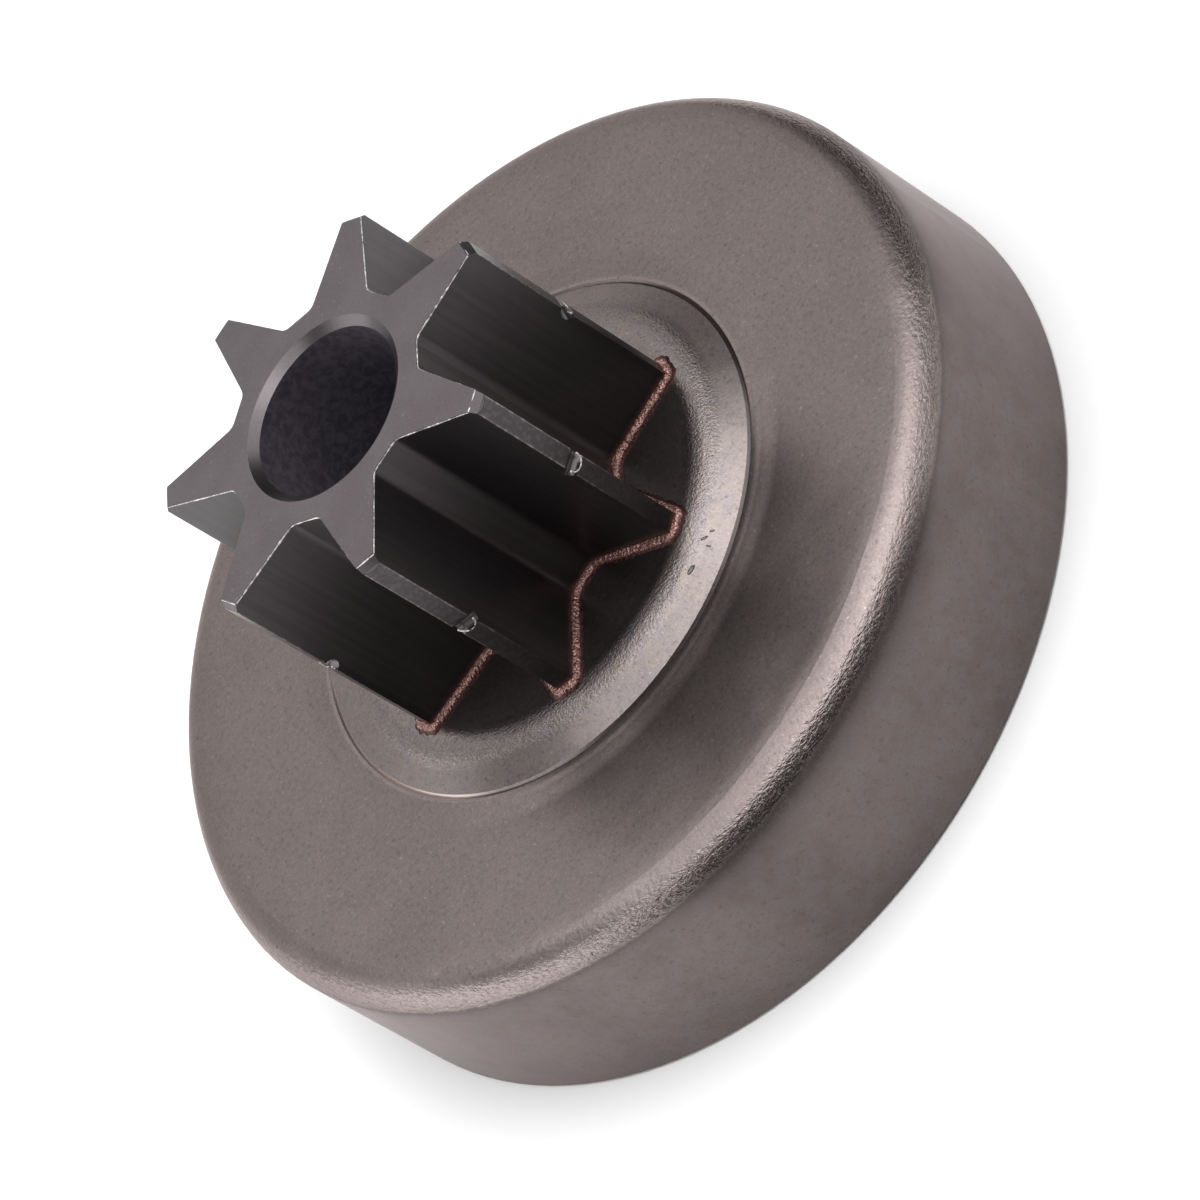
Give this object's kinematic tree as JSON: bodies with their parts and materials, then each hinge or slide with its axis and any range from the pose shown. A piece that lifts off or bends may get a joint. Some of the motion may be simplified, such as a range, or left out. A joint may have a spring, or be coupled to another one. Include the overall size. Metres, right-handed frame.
{
  "type": "chainsaw clutch drum",
  "caption": "Pressed steel cup with a long spur sprocket brazed on its face: clutch shoes grip inside the cup and the teeth drive a saw chain.",
  "frame": {"origin": "centre of the cup's open rim, on the rim plane", "axes": "+Z along the drum's axis towards the sprocket's nose, +X through the middle of one tooth"},
  "size_m": [0.0776, 0.0776, 0.0409],
  "materials": {
    "cup_steel": "satin, tumbled, warm grey",
    "sprocket_steel": "satin, machined, darker grey",
    "braze": "rough, granular, copper-coloured filler"
  },
  "bodies": {
    "root": {"drum_cup": "cup_steel", "spur_sprocket": "sprocket_steel", "outer_braze_bead": "braze", "inner_braze_ring": "braze"}
  },
  "joints": []
}
